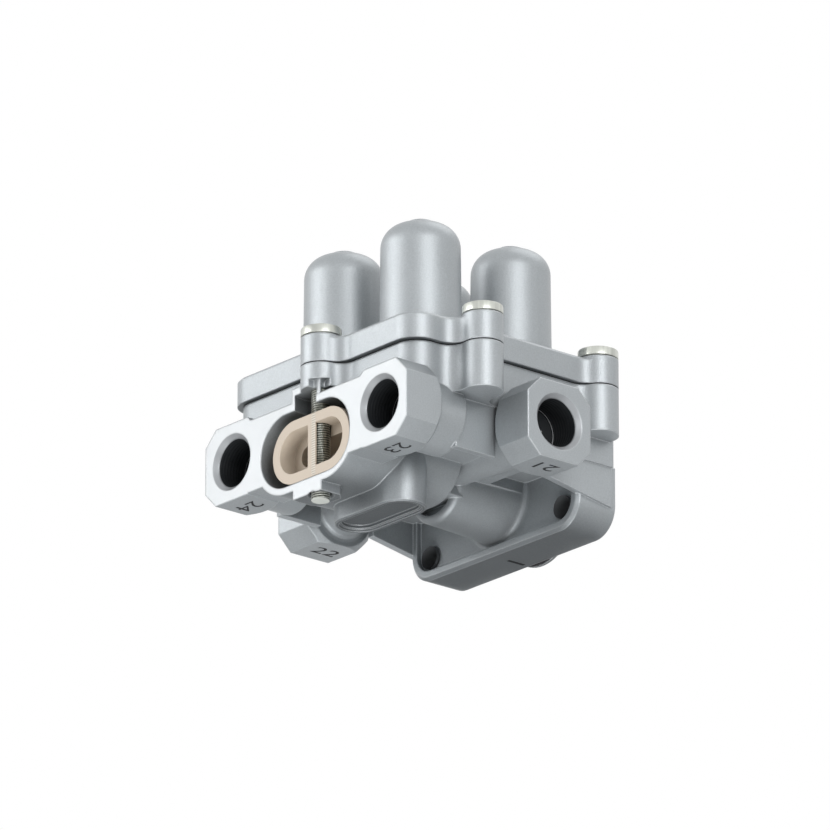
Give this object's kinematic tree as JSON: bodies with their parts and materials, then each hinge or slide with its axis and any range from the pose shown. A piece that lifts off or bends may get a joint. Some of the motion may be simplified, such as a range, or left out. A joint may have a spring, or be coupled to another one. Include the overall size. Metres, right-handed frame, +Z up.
{
  "type": "four-circuit protection valve",
  "caption": "Die-cast pneumatic brake protection valve: flanged housing with threaded ports and an open front pocket, under a screwed cover with tall spring domes.",
  "frame": {"origin": "centre of the port 1 bore in the plane of the mounting flange's rear face", "axes": "+X towards port 21, +Y out of the flange face to the rear, +Z up to the spring domes"},
  "size_m": [0.1576, 0.131, 0.1243],
  "materials": {
    "cast_body": "fine-grained die casting, machined port faces",
    "cast_cover": "fine-grained die casting, satin",
    "gasket": "matt sheet",
    "seal": "matt moulded",
    "screw": "zinc-nickel plated",
    "insert": "moulded, satin",
    "piston": "turned",
    "spring_plate": "pressed, zinc plated",
    "spring": "oiled spring wire"
  },
  "bodies": {
    "housing": {"body": "cast_body", "cover": "cast_cover", "cover_gasket": "gasket", "port_1_o_ring": "seal", "long_screw": "screw", "cover_screws": "screw", "vent_insert": "insert", "spring_plate_21": "spring_plate", "spring_plate_22": "spring_plate", "spring_plate_23": "spring_plate", "spring_plate_24": "spring_plate", "spring_21": "spring", "spring_22": "spring", "spring_23": "spring", "spring_24": "spring"},
    "valve_21": {"piston_21": "piston", "valve_disc_21": "seal", "piston_ring_21": "seal"},
    "valve_22": {"piston_22": "piston", "valve_disc_22": "seal", "piston_ring_22": "seal"},
    "valve_23": {"piston_23": "piston", "valve_disc_23": "seal", "piston_ring_23": "seal"},
    "valve_24": {"piston_24": "piston", "valve_disc_24": "seal", "piston_ring_24": "seal"}
  },
  "joints": [
    {"name": "valve_21_lift", "type": "slide", "parent": "housing", "child": "valve_21", "axis": [0, 0, 1], "range_m": [0, 0.003], "stiffness_N_per_m": 8000, "springref_m": -0.014, "deforming": ["spring_21"]},
    {"name": "valve_22_lift", "type": "slide", "parent": "housing", "child": "valve_22", "axis": [0, 0, 1], "range_m": [0, 0.003], "stiffness_N_per_m": 8000, "springref_m": -0.014, "deforming": ["spring_22"]},
    {"name": "valve_23_lift", "type": "slide", "parent": "housing", "child": "valve_23", "axis": [0, 0, 1], "range_m": [0, 0.003], "stiffness_N_per_m": 8000, "springref_m": -0.014, "deforming": ["spring_23"]},
    {"name": "valve_24_lift", "type": "slide", "parent": "housing", "child": "valve_24", "axis": [0, 0, 1], "range_m": [0, 0.003], "stiffness_N_per_m": 8000, "springref_m": -0.014, "deforming": ["spring_24"]}
  ]
}
